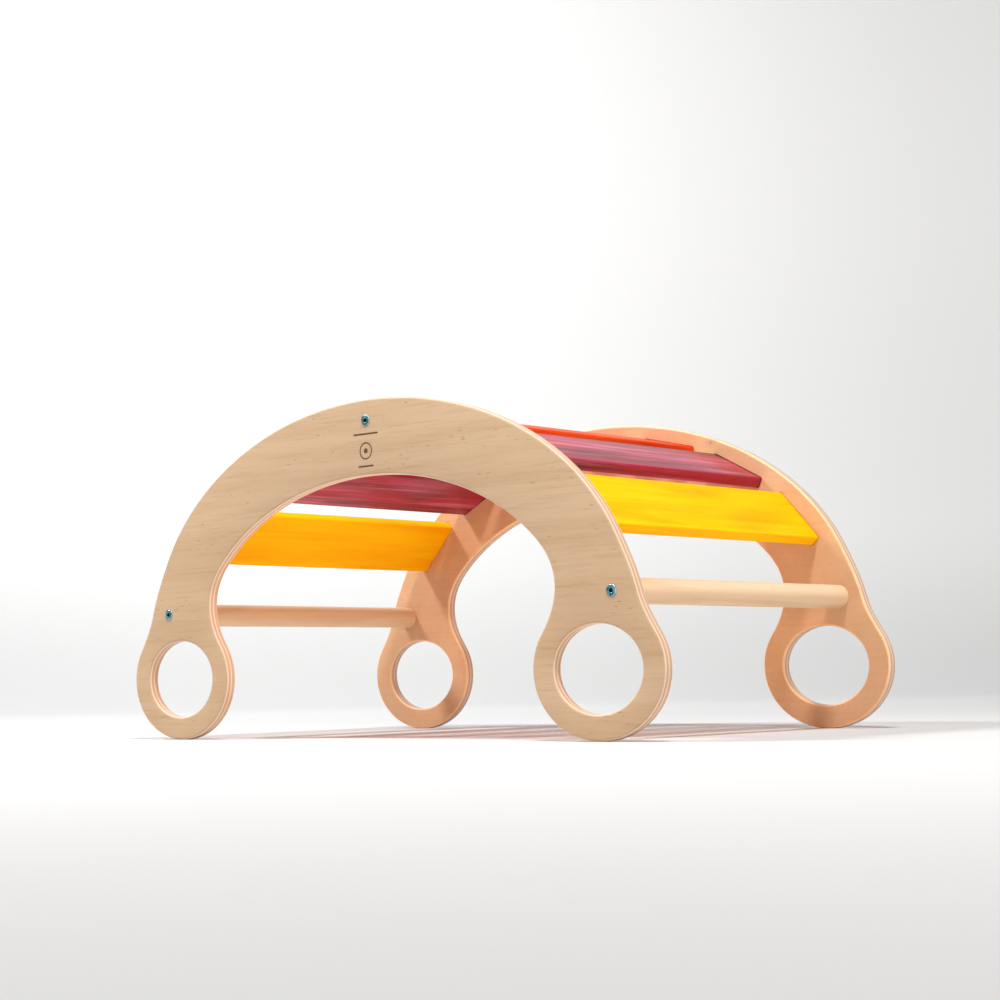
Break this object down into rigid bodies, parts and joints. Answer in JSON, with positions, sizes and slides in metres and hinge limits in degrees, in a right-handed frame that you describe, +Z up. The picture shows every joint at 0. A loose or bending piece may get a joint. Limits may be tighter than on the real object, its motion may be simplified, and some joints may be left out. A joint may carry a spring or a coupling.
{
  "type": "rocking arch seesaw",
  "caption": "Wooden rocking arch: plywood sides with ring feet, coloured slats and round rungs. Stands as a climber and rocks as a seesaw when turned over.",
  "frame": {"origin": "centre of the footprint on the floor, midway between the side panels and between the feet", "axes": "+X along the arch, from foot to foot; +Y from the front panel to the back panel; +Z up, feet down"},
  "size_m": [0.901, 0.482, 0.4195],
  "materials": {
    "birch_ply": "clear satin varnish over birch plywood, ply layers visible on the rounded edges",
    "pale_wood": "clear satin varnish",
    "orange_stain": "orange-red stain with the grain showing, satin varnish",
    "magenta_stain": "magenta stain with the grain showing, satin varnish",
    "yellow_stain": "yellow stain with the grain showing, satin varnish",
    "blue_zinc": "blue zinc plated steel",
    "zinc": "bright zinc plated steel"
  },
  "bodies": {
    "root": {"side_panel_front": "birch_ply", "side_panel_back": "birch_ply", "slat_crown": "orange_stain", "slat_red_left": "orange_stain", "slat_red_right": "orange_stain", "slat_magenta_left": "magenta_stain", "slat_magenta_right": "magenta_stain", "slat_yellow_left": "yellow_stain", "slat_yellow_right": "yellow_stain", "rung_left": "pale_wood", "rung_right": "pale_wood", "bolt_crown_front": "blue_zinc", "bolt_left_front": "blue_zinc", "bolt_right_front": "blue_zinc", "bolt_crown_back": "blue_zinc", "bolt_left_back": "blue_zinc", "bolt_right_back": "blue_zinc", "insert_crown_front": "zinc", "insert_left_front": "zinc", "insert_right_front": "zinc", "insert_crown_back": "zinc", "insert_left_back": "zinc", "insert_right_back": "zinc"}
  },
  "joints": []
}
